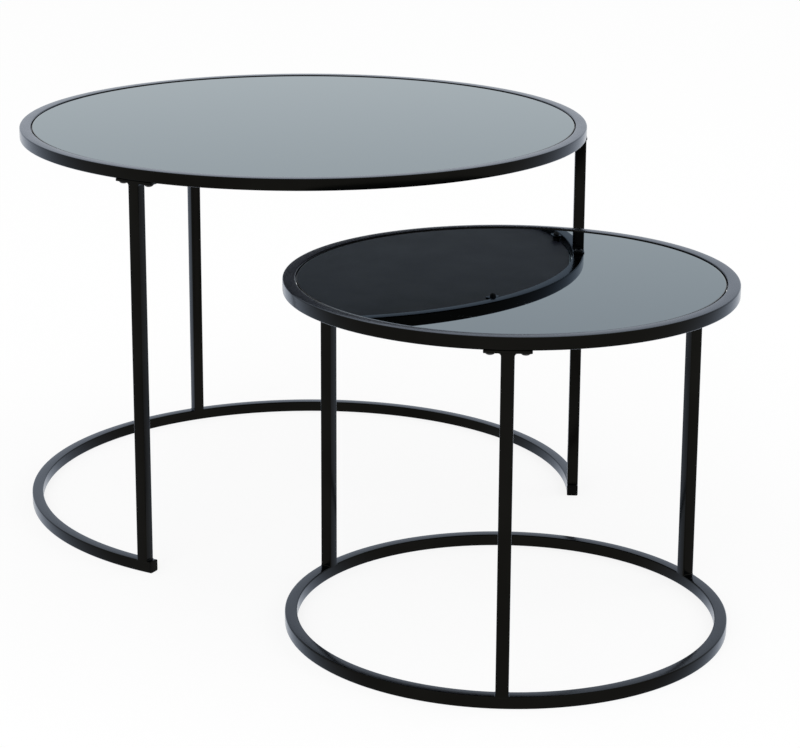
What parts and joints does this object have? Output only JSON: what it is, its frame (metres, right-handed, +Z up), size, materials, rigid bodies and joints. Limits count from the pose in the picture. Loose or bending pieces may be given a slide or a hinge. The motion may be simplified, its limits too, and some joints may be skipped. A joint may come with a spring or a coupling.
{
  "type": "nesting tables",
  "caption": "Two round nesting side tables with smoked black glass tops in black square-tube frames; the smaller slides under the larger.",
  "frame": {"origin": "on the floor, at the middle of the two tables' footprint box as they stand, the small one drawn out to the front", "axes": "+Z up, +Y the way the small table slides in under the large one, +X to the right of someone facing the back"},
  "size_m": [0.71, 1.111, 0.49],
  "materials": {
    "black_steel": "satin black powder coat",
    "black_screw": "black zinc plate",
    "smoked_glass": "smoked black glass, polished; slate paint underneath",
    "black_plastic": "matte black",
    "black_rubber": "soft black rubber"
  },
  "bodies": {
    "large_table": {"large_base_plug_a": "black_plastic", "large_base_plug_b": "black_plastic", "large_base_ring": "black_steel", "large_glass_bumper_1": "black_rubber", "large_glass_bumper_2": "black_rubber", "large_glass_bumper_3": "black_rubber", "large_glass_bumper_4": "black_rubber", "large_glass_bumper_5": "black_rubber", "large_glass_bumper_6": "black_rubber", "large_glass_top": "smoked_glass", "large_leg_1": "black_steel", "large_leg_2": "black_steel", "large_leg_3": "black_steel", "large_leg_plate_1": "black_steel", "large_leg_plate_2": "black_steel", "large_leg_plate_3": "black_steel", "large_plate_screw_1a": "black_screw", "large_plate_screw_1b": "black_screw", "large_plate_screw_2a": "black_screw", "large_plate_screw_2b": "black_screw", "large_plate_screw_3a": "black_screw", "large_plate_screw_3b": "black_screw", "large_top_frame": "black_steel"},
    "small_table": {"small_base_ring": "black_steel", "small_glass_bumper_1": "black_rubber", "small_glass_bumper_2": "black_rubber", "small_glass_bumper_3": "black_rubber", "small_glass_bumper_4": "black_rubber", "small_glass_bumper_5": "black_rubber", "small_glass_bumper_6": "black_rubber", "small_glass_top": "smoked_glass", "small_leg_1": "black_steel", "small_leg_2": "black_steel", "small_leg_3": "black_steel", "small_leg_plate_1": "black_steel", "small_leg_plate_2": "black_steel", "small_leg_plate_3": "black_steel", "small_plate_screw_1a": "black_screw", "small_plate_screw_1b": "black_screw", "small_plate_screw_2a": "black_screw", "small_plate_screw_2b": "black_screw", "small_plate_screw_3a": "black_screw", "small_plate_screw_3b": "black_screw", "small_top_frame": "black_steel"}
  },
  "joints": [
    {"name": "small_table_nest", "type": "slide", "parent": "large_table", "child": "small_table", "axis": [0, 1, 0], "range_m": [-0.11, 0.506]}
  ]
}
